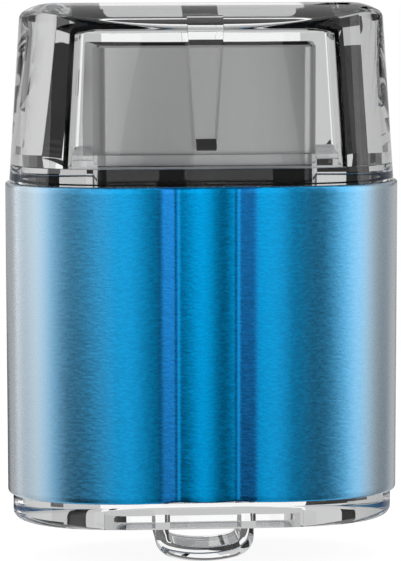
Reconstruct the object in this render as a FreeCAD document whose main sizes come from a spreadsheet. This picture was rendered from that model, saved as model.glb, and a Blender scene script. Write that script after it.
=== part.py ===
"""Capped flash drive: a steel plug on a circuit board, in an extruded sleeve closed by a clear collar and tail cap.

Millimetres. +Z runs out of the plug, -Y is the front. The origin is the middle of the plug where it leaves the collar.
"""
import FreeCAD, Part
import os
import re
import Sketcher
from FreeCAD import Vector

SIZES = (
    ("sleeve_width", 22.0, "width of the sleeve, and of the whole drive"),
    ("sleeve_depth", 9.8, "thickness of the sleeve, and of the whole drive"),
    ("sleeve_length", 17.5, "length of the sleeve"),
    ("sleeve_wall", 1.0, "wall of the extrusion"),
    ("sleeve_edge", 0.12, "broken edge at both ends of the sleeve"),
    ("face_radius", 57.5, "slight bow of the front and back faces"),
    ("channel_width", 9.3, "channel down the front and back, with its soft shoulders"),
    ("shoulder_radius", 11.0, "roll of the channel's shoulders"),
    ("lip_width", 5.24, "distance between the lips of the channel's two grooves"),
    ("lip_drop", 0.21, "depth of the lips under the face"),
    ("bead_width", 3.32, "bead between the two grooves"),
    ("bead_radius", 5.4, "roundness of the bead"),
    ("bead_drop", 0.24, "depth of the bead's crest under the face"),
    ("end_inset", 0.3, "how far the clear ends lie inside the sleeve's outline"),
    ("seat_gap", 0.04, "gap left where two pieces seat end to end"),
    ("fit_gap", 0.05, "gap all round where one piece fits in another"),
    ("spigot_wall", 1.0, "wall of the spigots that enter the sleeve"),
    ("collar_height", 0.95, "part of the collar that shows"),
    ("collar_taper", 0.07, "how much the collar narrows towards the cap on each side"),
    ("collar_spigot", 1.6, "how far the collar enters the sleeve"),
    ("neck_height", 0.65, "neck of the collar that enters the cap"),
    ("tail_height", 1.45, "part of the tail cap that shows, without its loop"),
    ("tail_spigot", 1.6, "how far the tail cap enters the sleeve"),
    ("tail_round", 0.42, "rounding of the tail cap's lower edge"),
    ("well_width", 11.6, "light well inside the tail cap, across"),
    ("well_depth", 4.2, "light well inside the tail cap, front to back"),
    ("well_height", 0.75, "light well inside the tail cap, along the drive"),
    ("loop_width", 5.6, "lanyard loop, across"),
    ("loop_depth", 3.2, "lanyard loop, front to back"),
    ("loop_drop", 2.45, "how far the loop stands out of the tail cap"),
    ("loop_wall", 0.6, "thickness of the loop's strap"),
    ("loop_bow", 7.5, "radius of the bowed foot of the loop"),
    ("loop_corner", 0.7, "rounded lower corners of the loop"),
    ("cap_length", 8.93, "height of the cap over the collar"),
    ("cap_taper", 0.62, "how much the cap narrows on each side"),
    ("cap_face_radius", 29.0, "bow of the cap's faces at its top"),
    ("crown_radius", 8.0, "arch of the cap's top, front to back"),
    ("cap_end_run", 1.8, "rounding of the cap's top towards its sides, along the width"),
    ("cap_end_drop", 0.58, "how far that rounding falls"),
    ("cap_edge", 0.3, "rounding of the edge round the cap's top"),
    ("cavity_height", 7.65, "inside height of the cap"),
    ("cavity_side", 1.65, "room beside the plug at the cap's mouth"),
    ("cavity_face", 0.85, "room in front of and behind the plug at the cap's mouth"),
    ("cavity_taper", 0.45, "how much the inside of the cap narrows on each side"),
    ("cavity_corner", 0.8, "corner radius of the inside of the cap"),
    ("rib_gap", 0.12, "gap between the cap's guide ribs and the plug"),
    ("rib_top", 2.0, "width of a guide rib under the cap's top"),
    ("rib_end", 1.1, "width of a guide rib at its lower end"),
    ("rib_foot", 0.9, "height of the ribs' lower end over the collar"),
    ("rib_ramp", 0.6, "height of the lead-in ramp at a rib's lower end"),
    ("plug_width", 12.0, "width of the plug, a standard size"),
    ("plug_depth", 4.5, "thickness of the plug, a standard size"),
    ("plug_reach", 6.6, "how far the plug stands out of the collar"),
    ("plug_corner", 0.6, "corner radius of the plug"),
    ("plug_sheet", 0.3, "sheet the plug's shell is folded from"),
    ("plug_seam", 0.12, "seam pressed in down the back of the shell"),
    ("window_width", 2.3, "latch windows in the back of the shell"),
    ("window_height", 1.5, "latch windows, along the plug"),
    ("window_pitch", 5.2, "spacing of the latch windows"),
    ("window_inset", 1.7, "distance from the plug's mouth to the latch windows"),
    ("block_length", 2.4, "insulator block below the shell"),
    ("core_length", 1.2, "insulator inside the foot of the shell"),
    ("tongue_thick", 1.84, "thickness of the tongue, a standard size"),
    ("tongue_inset", 0.7, "how far the tongue ends inside the mouth"),
    ("leg_width", 1.5, "legs of the shell that reach the board"),
    ("leg_reach", 2.0, "how far the legs run along the board"),
    ("contact_width", 1.0, "width of a contact"),
    ("contact_thick", 0.25, "thickness of a contact"),
    ("contact_tail", 0.7, "width of a contact's tail on the board"),
    ("contact_foot", 1.6, "length of a contact's tail on the board"),
    ("power_pitch", 7.0, "spacing of the two power contacts, a standard size"),
    ("data_pitch", 2.0, "spacing of the two data contacts, a standard size"),
    ("power_inset", 0.5, "distance of the power contacts from the tongue's tip"),
    ("data_inset", 1.1, "distance of the data contacts from the tongue's tip"),
    ("tray_wall", 0.8, "wall of the trays"),
    ("tray_ledge", 0.8, "ledge of the trays that holds the board's edge"),
    ("board_width", 15.4, "width of the circuit board"),
    ("board_thick", 0.8, "thickness of the circuit board"),
    ("board_notch", 2.4, "length of the narrow end between the shell's legs"),
    ("lead_height", 0.1, "height of the leads under both chips"),
    ("memory_width", 11.5, "memory chip, across"),
    ("memory_length", 8.5, "memory chip, along the drive"),
    ("memory_thick", 1.0, "memory chip, thickness"),
    ("memory_drop", 1.0, "distance from the contacts' tails to the memory chip"),
    ("controller_size", 4.6, "controller chip, both ways"),
    ("controller_drop", 1.2, "distance from the board's shoulder to the controller chip"),
    ("controller_shift", 0.4, "distance of the controller chip from the middle of its half of the board"),
    ("controller_thick", 0.8, "controller chip, thickness"),
    ("lead_size", 0.35, "leads of both chips, across"),
    ("crystal_width", 3.2, "crystal, across"),
    ("crystal_length", 1.4, "crystal, along the drive"),
    ("crystal_thick", 0.7, "crystal, thickness"),
    ("lamp_width", 1.6, "indicator lamp, across"),
    ("lamp_length", 0.8, "indicator lamp, along the drive"),
    ("chip_width", 1.0, "small chip parts, across"),
    ("chip_length", 0.5, "small chip parts, along the drive"),
    ("chip_thick", 0.5, "small chip parts, thickness"),
    ("solder_thick", 0.18, "solder over a contact's tail"),
)

doc = FreeCAD.newDocument("flash_drive")
sheet = doc.addObject("Spreadsheet::Sheet", "Sheet")
for row, (alias, number, note) in enumerate(SIZES, start=1):
    sheet.set(f"A{row}", note)
    sheet.set(f"B{row}", str(number))
    sheet.setAlias(f"B{row}", alias)
doc.recompute()
ALIASES = {alias for alias, _, _ in SIZES}
NODES = []

# Levels along Z, each written once
SLEEVE_TOP = "-(collar_height + seat_gap)"
SLEEVE_END = f"({SLEEVE_TOP} - sleeve_length)"
TAIL_TOP = f"({SLEEVE_END} - seat_gap)"
TAIL_FACE = f"({TAIL_TOP} - tail_height)"
BOARD_TOP = "-(block_length + seat_gap)"
TRAY_TOP = "-(collar_height + collar_spigot + seat_gap)"
TRAY_END = f"({TAIL_TOP} + tail_spigot + seat_gap)"
BOARD_END = f"({TRAY_END} + tray_wall + fit_gap)"
TONGUE_TIP = "(plug_reach - tongue_inset)"
# Levels along Y: the contacts lie flush in the tongue, and the board lies right behind them
TONGUE_FACE = "(plug_depth / 2 - plug_sheet - fit_gap - tongue_thick)"
BOARD_FACE = f"({TONGUE_FACE} + contact_thick)"
BOARD_BACK = f"({BOARD_FACE} + board_thick)"


def formula(text):
    """The same expression with every size written as a cell of the sheet."""
    return re.sub(r"[a-z_]+", lambda m: f"Sheet.{m[0]}" if m[0] in ALIASES else m[0], str(text))


def value(text):
    return float(sheet.evalExpression(formula(text)))


def bind(obj, prop, text):
    obj.setExpression(prop, formula(text))


def new_body(label):
    body = doc.addObject("PartDesign::Body", label)
    NODES.append(body)
    return body


def new_sketch(body, name, role="XY_Plane", offset="0"):
    """A sketch of the body on one of its own origin planes, moved along that plane's normal."""
    sketch = body.newObject("Sketcher::SketchObject", f"{body.Label}_{name}")
    plane = next(f for f in body.Origin.OriginFeatures if f.Role == role)
    sketch.AttachmentSupport = (plane, [""])
    sketch.MapMode = "FlatFace"
    bind(sketch, "AttachmentOffset.Base.z", offset)
    return sketch


def dimension(sketch, name, text, kind, *where):
    """A named constraint held at a size of the sheet."""
    index = sketch.addConstraint(Sketcher.Constraint(kind, *where, value(text)))
    sketch.renameConstraint(index, name)
    bind(sketch, f"Constraints.{name}", text)


def rules(sketch, *rows):
    sketch.addConstraint([Sketcher.Constraint(*row) for row in rows])


def oval(sketch, half_width, half_depth, radius):
    """Four tangent arcs: front and back of the given radius, sides of the radius that closes the outline."""
    side = (f"((2 * ({radius}) * ({half_depth}) - ({half_width})^2 - ({half_depth})^2)"
            f" / (2 * (({radius}) - ({half_width}))))")
    centre = f"(({half_width}) - {side})"
    a, r, big = value(centre), value(side), value(radius)
    rise = big - value(half_depth)
    # Points where a side arc meets a face arc
    ratio = big / (big - r)
    x, y = a * ratio, -rise + rise * ratio
    up = Vector(0, 0, 1)

    def arc(cx, cy, rad, start, end):
        circle = Part.Circle(Vector(cx, cy, 0), up, rad)
        return Part.ArcOfCircle(circle, circle.parameter(start), circle.parameter(end))

    corner = [Vector(x, -y, 0), Vector(x, y, 0), Vector(-x, y, 0), Vector(-x, -y, 0)]
    sketch.addGeometry([arc(a, 0, r, corner[0], corner[1]), arc(0, -rise, big, corner[1], corner[2]),
                        arc(-a, 0, r, corner[2], corner[3]), arc(0, rise, big, corner[3], corner[0])])
    rules(sketch, ("Tangent", 0, 2, 1, 1), ("Tangent", 1, 2, 2, 1), ("Tangent", 2, 2, 3, 1), ("Tangent", 3, 2, 0, 1),
          ("PointOnObject", 0, 3, -1), ("Symmetric", 0, 3, 2, 3, -1, 1), ("Equal", 0, 2), ("Equal", 1, 3))
    dimension(sketch, "side_centre", centre, "DistanceX", -1, 1, 0, 3)
    dimension(sketch, "side_radius", side, "Radius", 0)
    dimension(sketch, "face_radius", radius, "Radius", 1)


def sleeve_oval(sketch, inset):
    """The sleeve's outline, drawn in by an inset."""
    oval(sketch, f"(sleeve_width / 2 - {inset})", f"(sleeve_depth / 2 - {inset})", f"(face_radius - {inset})")


def polygon(sketch, points):
    """A closed outline through points given as pairs of expressions, each corner held in place."""
    spots = [Vector(value(x), value(y), 0) for x, y in points]
    count = len(spots)
    sketch.addGeometry([Part.LineSegment(spots[i], spots[(i + 1) % count]) for i in range(count)])
    rules(sketch, *[("Coincident", i, 2, (i + 1) % count, 1) for i in range(count)])
    for i, (x, y) in enumerate(points):
        dimension(sketch, f"x_{i + 1}", x, "DistanceX", -1, 1, i, 1)
        dimension(sketch, f"y_{i + 1}", y, "DistanceY", -1, 1, i, 1)


def rectangle(sketch, left, right, low, high):
    polygon(sketch, [(left, low), (right, low), (right, high), (left, high)])


def rounded(sketch, width, depth, radius):
    """A centred rectangle with rounded corners."""
    w, d, r = value(width) / 2, value(depth) / 2, value(radius)
    up, quarter = Vector(0, 0, 1), 1.5707963267948966
    sketch.addGeometry([Part.LineSegment(Vector(-w + r, -d, 0), Vector(w - r, -d, 0)),
                        Part.LineSegment(Vector(w, -d + r, 0), Vector(w, d - r, 0)),
                        Part.LineSegment(Vector(w - r, d, 0), Vector(-w + r, d, 0)),
                        Part.LineSegment(Vector(-w, d - r, 0), Vector(-w, -d + r, 0))])
    for turn, (x, y) in enumerate(((w - r, -d + r), (w - r, d - r), (-w + r, d - r), (-w + r, -d + r))):
        circle = Part.Circle(Vector(x, y, 0), up, r)
        sketch.addGeometry(Part.ArcOfCircle(circle, (turn - 1) * quarter, turn * quarter))
    for i in range(4):
        rules(sketch, ("Tangent", i, 2, 4 + i, 1), ("Tangent", 4 + i, 2, (i + 1) % 4, 1))
    rules(sketch, ("Horizontal", 0), ("Vertical", 1), ("Equal", 4, 5), ("Equal", 5, 6), ("Equal", 6, 7),
          ("Symmetric", 4, 3, 6, 3, -1, 1))
    dimension(sketch, "corner", radius, "Radius", 4)
    dimension(sketch, "half_width", f"({width}) / 2 - ({radius})", "DistanceX", -1, 1, 5, 3)
    dimension(sketch, "half_depth", f"({depth}) / 2 - ({radius})", "DistanceY", -1, 1, 5, 3)


def arched(sketch, half_width, far, near, radius, side):
    """A centred outline closed by a line at one end and, at the other, by an arc whose middle is at `near`.

    The arc's centre lies on the given side of its middle, 1 towards +Y of the sketch and -1 towards -Y.
    """
    first = sketch.GeometryCount
    hw, end, mid, r = value(half_width), value(far), value(near), value(radius)
    circle = Part.Circle(Vector(0, mid + side * r, 0), Vector(0, 0, 1), r)
    corner = mid + side * (r - (r * r - hw * hw) ** 0.5)
    a, b = Vector(-hw, corner, 0), Vector(hw, corner, 0)
    start, stop = (a, b) if side > 0 else (b, a)
    sketch.addGeometry([Part.ArcOfCircle(circle, circle.parameter(start), circle.parameter(stop)),
                        Part.LineSegment(stop, Vector(stop.x, end, 0)),
                        Part.LineSegment(Vector(stop.x, end, 0), Vector(start.x, end, 0)),
                        Part.LineSegment(Vector(start.x, end, 0), start)])
    arc, up, across, down = range(first, first + 4)
    rules(sketch, ("Coincident", arc, 2, up, 1), ("Coincident", up, 2, across, 1), ("Coincident", across, 2, down, 1),
          ("Coincident", down, 2, arc, 1), ("Vertical", up), ("Vertical", down), ("Horizontal", across),
          ("PointOnObject", arc, 3, -2))
    name = f"arch_{first}"
    dimension(sketch, f"{name}_radius", radius, "Radius", arc)
    dimension(sketch, f"{name}_centre", f"({near}) + {side} * ({radius})", "DistanceY", -1, 1, arc, 3)
    right, left = ((up, 1), (down, 1)) if side > 0 else ((down, 1), (up, 1))
    dimension(sketch, f"{name}_right", half_width, "DistanceX", -1, 1, *right)
    dimension(sketch, f"{name}_left", f"-({half_width})", "DistanceX", -1, 1, *left)
    dimension(sketch, f"{name}_end", far, "DistanceY", -1, 1, across, 1)


def grow(kind, body, name, sketch, length, symmetric=False, reverse=False):
    """A pad or a pocket of the sketch, through a length or through everything."""
    feature = body.newObject(f"PartDesign::{kind}", f"{body.Label}_{name}")
    feature.Profile = sketch
    feature.Refine = True
    if symmetric:
        feature.SideType = "Symmetric"
    feature.Reversed = reverse
    if length == "all":
        feature.Type = "ThroughAll"
    else:
        bind(feature, "Length", length)
    sketch.Visibility = False
    doc.recompute()
    return feature


def pad(body, name, sketch, length, **options):
    return grow("Pad", body, name, sketch, length, **options)


def pocket(body, name, sketch, length, **options):
    return grow("Pocket", body, name, sketch, length, **options)


def loft(kind, body, name, first, second):
    feature = body.newObject(f"PartDesign::{kind}Loft", f"{body.Label}_{name}")
    feature.Profile = first
    feature.Sections = [second]
    feature.Ruled = True
    doc.recompute()
    return feature


def dress(kind, body, name, size, chosen):
    """A fillet or a chamfer on the edges of the body's last feature that the test picks."""
    tip = body.Tip
    names = [f"Edge{i + 1}" for i, edge in enumerate(tip.Shape.Edges) if chosen(edge)]
    feature = body.newObject(f"PartDesign::{kind}", f"{body.Label}_{name}")
    feature.Base = (tip, names)
    bind(feature, "Radius" if kind == "Fillet" else "Size", size)
    doc.recompute()
    return feature


def at_level(edge, level, slack=1e-4):
    return abs(edge.BoundBox.ZMin - value(level)) < slack and abs(edge.BoundBox.ZMax - value(level)) < slack


def mirrored(body, name, role, *features):
    copy = body.newObject("PartDesign::Mirrored", f"{body.Label}_{name}")
    copy.Originals = list(features)
    copy.MirrorPlane = (next(f for f in body.Origin.OriginFeatures if f.Role == role), [""])
    body.Tip = copy
    doc.recompute()
    return copy


def boxes(label, width, depth, height, places):
    """One node of equal boxes, each given the middle of its foot across X and the low ends in Y and Z."""
    solids = []
    for index, (x, y, z) in enumerate(places, start=1):
        box = doc.addObject("Part::Box", f"{label}_{index}")
        for prop, text in (("Length", width), ("Width", depth), ("Height", height)):
            bind(box, prop, text)
        bind(box, "Placement.Base.x", f"({x}) - ({width}) / 2")
        bind(box, "Placement.Base.y", y)
        bind(box, "Placement.Base.z", z)
        solids.append(box)
    if len(solids) == 1:
        solids[0].Label = label
        NODES.append(solids[0])
        return solids[0]
    group = doc.addObject("Part::Compound", label)
    group.Links = solids
    NODES.append(group)
    return group


# Sleeve: an oval tube with a channel down the front and the back, each a bead between two grooves
sleeve = new_body("sleeve")
outline = new_sketch(sleeve, "outline", offset=SLEEVE_END)
sleeve_oval(outline, "0")
pad(sleeve, "tube", outline, "sleeve_length")
bore = new_sketch(sleeve, "bore", offset=SLEEVE_END)
sleeve_oval(bore, "sleeve_wall")
dress("Chamfer", sleeve, "edges", "sleeve_edge", lambda e: at_level(e, SLEEVE_TOP) or at_level(e, SLEEVE_END))
pocket(sleeve, "inside", bore, "all", reverse=True)
groove = new_sketch(sleeve, "groove", offset=SLEEVE_END)
# The shoulders start a hair outside the bowed face, so that they cut it cleanly
SHOULDER_LEVEL = "(face_radius - sleeve_depth / 2 - sqrt(face_radius^2 - channel_width^2 / 4) - seat_gap / 8)"
BEAD_CENTRE = "(bead_radius + bead_drop - sleeve_depth / 2)"
BEAD_FOOT = f"({BEAD_CENTRE} - sqrt(bead_radius^2 - bead_width^2 / 4))"
OUTSIDE = "(-sleeve_depth / 2 - sleeve_wall)"
shoulder = Vector(value("channel_width / 2"), value(SHOULDER_LEVEL), 0)
lip = Vector(value("lip_width / 2"), value("lip_drop - sleeve_depth / 2"), 0)
foot = Vector(value("bead_width / 2"), value(BEAD_FOOT), 0)
far = Vector(shoulder.x, value(OUTSIDE), 0)


def left_of(point):
    return Vector(-point.x, point.y, 0)


def bow_between(start, stop, radius):
    """An arc from one point to another, counter-clockwise round a centre that lies to the left of its chord."""
    chord = stop - start
    aside = Vector(-chord.y, chord.x, 0) / chord.Length * (radius ** 2 - chord.Length ** 2 / 4) ** 0.5
    circle = Part.Circle((start + stop) / 2 + aside, Vector(0, 0, 1), radius)
    return Part.ArcOfCircle(circle, circle.parameter(start), circle.parameter(stop))


groove.addGeometry([
    bow_between(left_of(foot), foot, value("bead_radius")),
    Part.LineSegment(foot, lip),
    bow_between(lip, shoulder, value("shoulder_radius")),
    Part.LineSegment(shoulder, far),
    Part.LineSegment(far, left_of(far)),
    Part.LineSegment(left_of(far), left_of(shoulder)),
    bow_between(left_of(shoulder), left_of(lip), value("shoulder_radius")),
    Part.LineSegment(left_of(lip), left_of(foot))])
rules(groove, *[("Coincident", i, 2, (i + 1) % 8, 1) for i in range(8)],
      ("Symmetric", 0, 1, 0, 2, -2), ("Symmetric", 7, 1, 1, 2, -2), ("Symmetric", 6, 1, 2, 2, -2), ("Equal", 2, 6),
      ("Vertical", 3), ("Vertical", 5), ("Horizontal", 4))
dimension(groove, "foot_x", "bead_width / 2", "DistanceX", -1, 1, 0, 2)
dimension(groove, "foot_y", BEAD_FOOT, "DistanceY", -1, 1, 0, 2)
dimension(groove, "lip_x", "lip_width / 2", "DistanceX", -1, 1, 1, 2)
dimension(groove, "lip_y", "lip_drop - sleeve_depth / 2", "DistanceY", -1, 1, 1, 2)
dimension(groove, "shoulder_x", "channel_width / 2", "DistanceX", -1, 1, 2, 2)
dimension(groove, "shoulder_y", SHOULDER_LEVEL, "DistanceY", -1, 1, 2, 2)
dimension(groove, "outside", OUTSIDE, "DistanceY", -1, 1, 3, 2)
dimension(groove, "bead", "bead_radius", "Radius", 0)
dimension(groove, "roll", "shoulder_radius", "Radius", 2)
mirrored(sleeve, "channel_back", "XZ_Plane", pocket(sleeve, "channel_front", groove, "all", reverse=True))

# Collar: a clear ring with a neck for the cap, a spigot for the sleeve and an opening for the plug
collar = new_body("collar")
ring_foot = new_sketch(collar, "ring_foot", offset="-collar_height")
sleeve_oval(ring_foot, "(end_inset - collar_taper)")
ring_top = new_sketch(collar, "ring_top")
sleeve_oval(ring_top, "end_inset")
loft("Additive", collar, "ring", ring_foot, ring_top)
neck = new_sketch(collar, "neck_outline")
MOUTH_WIDTH, MOUTH_DEPTH = "(plug_width + 2 * cavity_side)", "(plug_depth + 2 * cavity_face)"
NECK_ROOM = "(cavity_taper + fit_gap)"
rounded(neck, f"{MOUTH_WIDTH} - {NECK_ROOM}", f"{MOUTH_DEPTH} - {NECK_ROOM}", "cavity_corner")
pad(collar, "neck", neck, "neck_height")
spigot = new_sketch(collar, "spigot_outline", offset="-(collar_height + collar_spigot)")
sleeve_oval(spigot, "(sleeve_wall + fit_gap)")
pad(collar, "spigot", spigot, "collar_spigot")
hollow = new_sketch(collar, "hollow_outline", offset="-(collar_height + collar_spigot)")
sleeve_oval(hollow, "(sleeve_wall + fit_gap + spigot_wall)")
pocket(collar, "hollow", hollow, "collar_spigot", reverse=True)
opening = new_sketch(collar, "opening_outline", offset="-(collar_height + collar_spigot)")
rounded(opening, "plug_width + 2 * fit_gap", "plug_depth + 2 * fit_gap", "plug_corner + fit_gap")
pocket(collar, "opening", opening, "all", reverse=True)

# Tail cap: a clear end with a spigot, a light well over the indicator lamp and the lanyard loop
tail_cap = new_body("tail_cap")
plate = new_sketch(tail_cap, "plate_outline", offset=TAIL_FACE)
sleeve_oval(plate, "end_inset")
pad(tail_cap, "plate", plate, "tail_height")
dress("Fillet", tail_cap, "plate_edge", "tail_round", lambda e: at_level(e, TAIL_FACE))
spigot = new_sketch(tail_cap, "spigot_outline", offset=TAIL_TOP)
sleeve_oval(spigot, "(sleeve_wall + fit_gap)")
pad(tail_cap, "spigot", spigot, "tail_spigot")
hollow = new_sketch(tail_cap, "hollow_outline", offset=TAIL_TOP)
sleeve_oval(hollow, "(sleeve_wall + fit_gap + spigot_wall)")
pocket(tail_cap, "hollow", hollow, "tail_spigot", reverse=True)
well = new_sketch(tail_cap, "well_outline", offset=f"{TAIL_TOP} - well_height")
rounded(well, "well_width", "well_depth", "well_depth / 4")
pocket(tail_cap, "well", well, "all", reverse=True)
LOOP_FOOT = f"({TAIL_FACE} - loop_drop)"
strap = new_sketch(tail_cap, "loop_outline", role="XZ_Plane")
arched(strap, "loop_width / 2", f"{TAIL_FACE} + tail_round", LOOP_FOOT, "loop_bow", 1)
pad(tail_cap, "loop", strap, "loop_depth", symmetric=True)
dress("Fillet", tail_cap, "loop_corners", "loop_corner",
      lambda e: (e.BoundBox.ZMax < value(f"{TAIL_FACE} - loop_wall / 3") and e.BoundBox.XLength < 0.01
                 and e.BoundBox.ZLength < 0.01))
eye = new_sketch(tail_cap, "eye_outline", role="XZ_Plane")
arched(eye, "loop_width / 2 - loop_wall", TAIL_FACE, f"{LOOP_FOOT} + loop_wall", "loop_bow - loop_wall", 1)
pocket(tail_cap, "eye", eye, "2 * loop_depth", symmetric=True)

# Cap: a tapered shell with an arched top, hollow for the plug, with a guide rib front and back
cap = new_body("cap")
rim = new_sketch(cap, "rim", offset="seat_gap")
sleeve_oval(rim, "end_inset")
top = new_sketch(cap, "top", offset="cap_length")
CAP_HALF_WIDTH = "(sleeve_width / 2 - end_inset - cap_taper)"
oval(top, CAP_HALF_WIDTH, "(sleeve_depth / 2 - end_inset - cap_taper)", "cap_face_radius")
loft("Additive", cap, "outside", rim, top)
END_START, END_STOP = f"({CAP_HALF_WIDTH} - cap_end_run)", f"({CAP_HALF_WIDTH} + 0.15 * cap_end_run)"
END_RADIUS = "((cap_end_run^2 + cap_end_drop^2) / (2 * cap_end_drop))"
end = new_sketch(cap, "end_arc", role="XZ_Plane")
start, stop, high, r = value(END_START), value(END_STOP), value("cap_length + cap_end_drop"), value(END_RADIUS)
circle = Part.Circle(Vector(start, value("cap_length") - r, 0), Vector(0, 0, 1), r)
fall = circle.Center.y + (r * r - (stop - start) ** 2) ** 0.5
corners = [Vector(stop, fall, 0), Vector(start, value("cap_length"), 0),
           Vector(start, high, 0), Vector(stop, high, 0)]
end.addGeometry([Part.ArcOfCircle(circle, circle.parameter(corners[0]), circle.parameter(corners[1]))]
                + [Part.LineSegment(corners[i], corners[(i + 1) % 4]) for i in (1, 2, 3)])
rules(end, *[("Coincident", i, 2, (i + 1) % 4, 1) for i in range(4)],
      ("Vertical", 0, 3, 0, 2), ("Vertical", 1), ("Horizontal", 2), ("Vertical", 3))
dimension(end, "radius", END_RADIUS, "Radius", 0)
dimension(end, "start", END_START, "DistanceX", -1, 1, 1, 1)
dimension(end, "level", "cap_length", "DistanceY", -1, 1, 1, 1)
dimension(end, "stop", END_STOP, "DistanceX", -1, 1, 3, 1)
dimension(end, "high", "cap_length + cap_end_drop", "DistanceY", -1, 1, 3, 1)
mirrored(cap, "end_left", "YZ_Plane", pocket(cap, "end_right", end, "2 * sleeve_depth", symmetric=True))
crown = new_sketch(cap, "crown_arch", role="YZ_Plane")
arched(crown, "sleeve_depth / 2", "cap_length + crown_radius / 4", "cap_length", "crown_radius", -1)
pocket(cap, "crown", crown, "2 * sleeve_width", symmetric=True)
dress("Fillet", cap, "top_edge", "cap_edge",
      lambda e: e.BoundBox.ZMin > value("cap_length / 2") and e.BoundBox.ZMax < value("cap_length") - 1e-3)
cavity_mouth = new_sketch(cap, "cavity_mouth")
rounded(cavity_mouth, MOUTH_WIDTH, MOUTH_DEPTH, "cavity_corner")
cavity_top = new_sketch(cap, "cavity_top", offset="cavity_height")
rounded(cavity_top, f"{MOUTH_WIDTH} - 2 * cavity_taper", f"{MOUTH_DEPTH} - 2 * cavity_taper", "cavity_corner")
loft("Subtractive", cap, "cavity", cavity_mouth, cavity_top)
rib = new_sketch(cap, "rib_outline", role="XZ_Plane", offset="plug_depth / 2 + rib_gap")
polygon(rib, [("-rib_end / 2", "rib_foot"), ("rib_end / 2", "rib_foot"),
              ("rib_top / 2", "cavity_height + seat_gap"), ("-rib_top / 2", "cavity_height + seat_gap")])
rib_pad = pad(cap, "rib", rib, "cavity_face - rib_gap")
ramp = new_sketch(cap, "ramp_outline", role="YZ_Plane")
polygon(ramp, [("-(plug_depth / 2 + rib_gap) + seat_gap", "rib_foot - seat_gap"),
               ("-(plug_depth / 2 + rib_gap) + seat_gap", "rib_foot + rib_ramp"),
               ("-(plug_depth / 2 + rib_gap)", "rib_foot + rib_ramp"),
               ("-(plug_depth / 2 + cavity_face)", "rib_foot - seat_gap")])
ramp_cut = pocket(cap, "ramp", ramp, "2 * rib_top", symmetric=True)
mirrored(cap, "rib_back", "XZ_Plane", rib_pad, ramp_cut)

# Plug: a folded steel shell with two legs, standing on the insulator's block
plug_shell = new_body("plug_shell")
shell = new_sketch(plug_shell, "shell_outline", offset="seat_gap")
rounded(shell, "plug_width", "plug_depth", "plug_corner")
pad(plug_shell, "shell", shell, "plug_reach - seat_gap")
dress("Chamfer", plug_shell, "lip", "plug_sheet / 3", lambda e: at_level(e, "plug_reach"))
inside = new_sketch(plug_shell, "inside_outline", offset="seat_gap")
CORE_WIDTH, CORE_DEPTH = "(plug_width - 2 * plug_sheet)", "(plug_depth - 2 * plug_sheet)"
rounded(inside, CORE_WIDTH, CORE_DEPTH, "plug_corner - plug_sheet")
pocket(plug_shell, "inside", inside, "all", reverse=True)
window = new_sketch(plug_shell, "window_outline", role="XZ_Plane")
rectangle(window, "window_pitch / 2 - window_width / 2", "window_pitch / 2 + window_width / 2",
          "plug_reach - window_inset - window_height", "plug_reach - window_inset")
mirrored(plug_shell, "window_left", "YZ_Plane", pocket(plug_shell, "window_right", window, "plug_depth"))
seam = new_sketch(plug_shell, "seam_outline")
rectangle(seam, "-plug_seam / 2", "plug_seam / 2", "plug_depth / 2 - plug_sheet / 2", "plug_depth / 2 + plug_sheet")
pocket(plug_shell, "seam", seam, "all", reverse=True)
leg = new_sketch(plug_shell, "leg_outline", offset=f"{BOARD_TOP} - leg_reach")
rectangle(leg, "plug_width / 2 - plug_sheet", "plug_width / 2", "-leg_width / 2", "leg_width / 2")
mirrored(plug_shell, "leg_left", "YZ_Plane", pad(plug_shell, "leg_right", leg, f"leg_reach + seat_gap - {BOARD_TOP}"))

plug_insulator = new_body("plug_insulator")
block = new_sketch(plug_insulator, "block_outline", offset="-block_length")
rounded(block, "plug_width", "plug_depth", "plug_corner")
pad(plug_insulator, "block", block, "block_length")
core = new_sketch(plug_insulator, "core_outline")
rounded(core, f"{CORE_WIDTH} - 2 * fit_gap", f"{CORE_DEPTH} - 2 * fit_gap", "plug_corner - plug_sheet")
pad(plug_insulator, "core", core, "core_length")
tongue = new_sketch(plug_insulator, "tongue_outline")
rectangle(tongue, f"-{CORE_WIDTH} / 2 + 3 * fit_gap", f"{CORE_WIDTH} / 2 - 3 * fit_gap",
          TONGUE_FACE, f"{TONGUE_FACE} + tongue_thick")
pad(plug_insulator, "tongue", tongue, TONGUE_TIP)
notch = new_sketch(plug_insulator, "notch_outline", offset="-block_length")
rectangle(notch, "plug_width / 2 - plug_sheet - fit_gap", "plug_width / 2 + fit_gap",
          "-leg_width / 2 - fit_gap", "leg_width / 2 + fit_gap")
mirrored(plug_insulator, "notch_left", "YZ_Plane",
         pocket(plug_insulator, "notch_right", notch, "block_length", reverse=True))
CONTACTS = (("vbus_contact", "-power_pitch / 2", "power_inset"),
            ("data_minus_contact", "-data_pitch / 2", "data_inset"),
            ("data_plus_contact", "data_pitch / 2", "data_inset"),
            ("ground_contact", "power_pitch / 2", "power_inset"))
for name, x, _ in CONTACTS:
    slot = new_sketch(plug_insulator, f"{name}_slot", offset="-block_length")
    rectangle(slot, f"{x} - contact_width / 2 - fit_gap", f"{x} + contact_width / 2 + fit_gap",
              f"{TONGUE_FACE} - fit_gap", BOARD_FACE)
    pocket(plug_insulator, f"{name}_way", slot, "all", reverse=True)

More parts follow.
